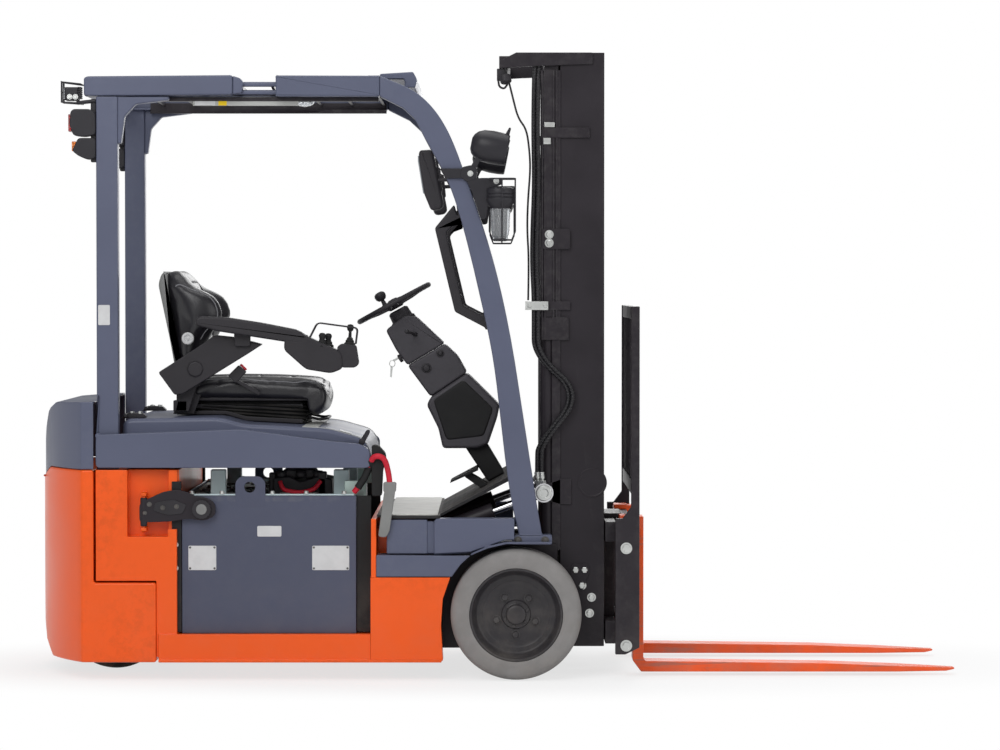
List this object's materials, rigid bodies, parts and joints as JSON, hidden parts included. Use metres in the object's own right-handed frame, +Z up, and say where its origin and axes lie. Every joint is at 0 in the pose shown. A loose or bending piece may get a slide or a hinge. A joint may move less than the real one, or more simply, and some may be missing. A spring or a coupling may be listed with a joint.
{
  "type": "battery forklift truck",
  "caption": "Counterbalanced battery forklift with a steered twin wheel at the back, driver's seat on a tilting hood, overhead guard and a telescoping tilting mast carrying adjustable forks.",
  "frame": {"origin": "on the floor below the middle of the truck's overall length and width, forks included", "axes": "+X towards the fork tips, +Y to the driver's left, +Z up"},
  "size_m": [3.246, 1.06, 2.19],
  "materials": {
    "body_orange": "gloss paint",
    "fork_orange": "satin paint, worn on top",
    "panel_grey": "satin paint",
    "battery_grey": "satin paint",
    "mast_black": "satin paint",
    "cast_black": "painted casting",
    "tyre_grey": "matt",
    "tyre_black": "matt",
    "rim_dark": "satin paint",
    "plastic_black": "grained",
    "rubber_black": "matt",
    "seat_black": "grained vinyl",
    "steel_bright": "polished rod",
    "steel_plain": "machined",
    "lamp_plastic": "gloss"
  },
  "bodies": {
    "chassis": {"frame": "body_orange", "front_frame": "body_orange", "counterweight": "body_orange", "rear_cover": "panel_grey", "cowl_sides": "panel_grey", "floor_plates": "rubber_black", "drive_axle": "cast_black", "mast_bearings": "cast_black", "front_pillars": "panel_grey", "rear_pillars": "panel_grey", "guard_roof": "panel_grey", "grab_handles": "plastic_black", "mirrors": "plastic_black", "front_lamps": "lamp_plastic", "rear_lamps": "lamp_plastic", "steering_column": "plastic_black", "pedals": "rubber_black", "battery_case": "battery_grey", "battery_plug": "plastic_black"},
    "front_wheel_left": {"tyre_left": "tyre_grey", "rim_left": "rim_dark"},
    "front_wheel_right": {"tyre_right": "tyre_grey", "rim_right": "rim_dark"},
    "steer_axle": {"steer_knuckle": "cast_black"},
    "rear_wheels": {"rear_tyres": "tyre_black", "rear_rims": "rim_dark"},
    "hand_wheel": {"steering_wheel": "plastic_black"},
    "seat_hood": {"hood": "panel_grey", "seat_frame": "plastic_black", "seat_cushion": "seat_black", "seat_backrest": "seat_black", "armrest": "plastic_black"},
    "gate": {"battery_gate": "mast_black"},
    "mast": {"outer_rails": "mast_black", "outer_crossbars": "mast_black", "lift_barrels": "mast_black", "mast_hoses": "rubber_black"},
    "second_stage": {"middle_rails": "mast_black", "middle_crossbars": "mast_black", "lift_rods": "steel_bright", "stage_chains": "steel_plain"},
    "third_stage": {"inner_rails": "mast_black", "inner_crossbars": "mast_black", "free_lift_barrel": "mast_black"},
    "free_lift": {"free_lift_head": "steel_plain"},
    "fork_carriage": {"carriage": "mast_black", "carriage_bars": "mast_black"},
    "side_shifter": {"shift_frame": "mast_black", "load_backrest": "mast_black"},
    "left_fork": {"fork_left": "fork_orange"},
    "right_fork": {"fork_right": "fork_orange"},
    "left_tilt_barrel": {"tilt_barrel_left": "mast_black"},
    "right_tilt_barrel": {"tilt_barrel_right": "mast_black"},
    "left_tilt_rod": {"tilt_rod_left": "steel_bright"},
    "right_tilt_rod": {"tilt_rod_right": "steel_bright"}
  },
  "joints": [
    {"name": "front_wheel_left_turn", "type": "hinge", "parent": "chassis", "child": "front_wheel_left", "pos_m": [0.074, 0.44, 0.228], "axis": [0, 1, 0], "continuous": true},
    {"name": "front_wheel_right_turn", "type": "hinge", "parent": "chassis", "child": "front_wheel_right", "pos_m": [0.074, -0.44, 0.228], "axis": [0, 1, 0], "continuous": true},
    {"name": "rear_steer", "type": "hinge", "parent": "chassis", "child": "steer_axle", "pos_m": [-1.359, 0, 0.4], "axis": [0, 0, 1], "range_deg": [-80, 80]},
    {"name": "rear_wheels_turn", "type": "hinge", "parent": "steer_axle", "child": "rear_wheels", "pos_m": [-1.359, 0, 0.188], "axis": [0, 1, 0], "continuous": true},
    {"name": "hand_wheel_turn", "type": "hinge", "parent": "chassis", "child": "hand_wheel", "pos_m": [-0.365, 0, 1.308], "axis": [-0.4772, 0, 0.8788], "range_deg": [-480, 480]},
    {"name": "hood_open", "type": "hinge", "parent": "chassis", "child": "seat_hood", "pos_m": [-1.38, 0, 0.85], "axis": [0, -1, 0], "range_deg": [0, 40]},
    {"name": "gate_swing", "type": "hinge", "parent": "chassis", "child": "gate", "pos_m": [-1.22, -0.497, 0.585], "axis": [0, 0, -1], "range_deg": [0, 110]},
    {"name": "mast_tilt", "type": "hinge", "parent": "chassis", "child": "mast", "pos_m": [0.19, 0, 0.18], "axis": [0, 1, 0], "range_deg": [-6, 5]},
    {"name": "mast_lift", "type": "slide", "parent": "mast", "child": "second_stage", "axis": [0, 0, 1], "range_m": [0, 1.4]},
    {"name": "third_stage_lift", "type": "slide", "parent": "second_stage", "child": "third_stage", "axis": [0, 0, 1], "range_m": [0, 1.4]},
    {"name": "carriage_lift", "type": "slide", "parent": "third_stage", "child": "fork_carriage", "axis": [0, 0, 1], "range_m": [0, 1.3]},
    {"name": "free_lift_rise", "type": "slide", "parent": "third_stage", "child": "free_lift", "axis": [0, 0, 1], "range_m": [0, 0.65]},
    {"name": "side_shift", "type": "slide", "parent": "fork_carriage", "child": "side_shifter", "axis": [0, 1, 0], "range_m": [-0.1, 0.1]},
    {"name": "fork_left_shift", "type": "slide", "parent": "side_shifter", "child": "left_fork", "axis": [0, 1, 0], "range_m": [-0.11, 0.07]},
    {"name": "fork_right_shift", "type": "slide", "parent": "side_shifter", "child": "right_fork", "axis": [0, -1, 0], "range_m": [-0.11, 0.07]},
    {"name": "tilt_barrel_left_swing", "type": "hinge", "parent": "chassis", "child": "left_tilt_barrel", "pos_m": [-0.285, 0.35, 0.47], "axis": [0, 1, 0], "range_deg": [-1.9, 1.6]},
    {"name": "tilt_rod_left_slide", "type": "slide", "parent": "left_tilt_barrel", "child": "left_tilt_rod", "axis": [0.9352, 0, 0.354], "range_m": [-0.0475, 0.0395]},
    {"name": "tilt_barrel_right_swing", "type": "hinge", "parent": "chassis", "child": "right_tilt_barrel", "pos_m": [-0.285, -0.35, 0.47], "axis": [0, 1, 0], "range_deg": [-1.9, 1.6]},
    {"name": "tilt_rod_right_slide", "type": "slide", "parent": "right_tilt_barrel", "child": "right_tilt_rod", "axis": [0.9352, 0, 0.354], "range_m": [-0.0475, 0.0395]}
  ],
  "couplings": [
    {"joint": "hand_wheel_turn", "follows": "rear_steer", "ratio": -6},
    {"joint": "third_stage_lift", "follows": "mast_lift", "ratio": 1},
    {"joint": "free_lift_rise", "follows": "carriage_lift", "ratio": 0.5},
    {"joint": "tilt_barrel_left_swing", "follows": "mast_tilt", "ratio": 0.297},
    {"joint": "tilt_rod_left_slide", "follows": "mast_tilt", "m_per_rad": 0.44},
    {"joint": "tilt_barrel_right_swing", "follows": "mast_tilt", "ratio": 0.297},
    {"joint": "tilt_rod_right_slide", "follows": "mast_tilt", "m_per_rad": 0.44}
  ]
}
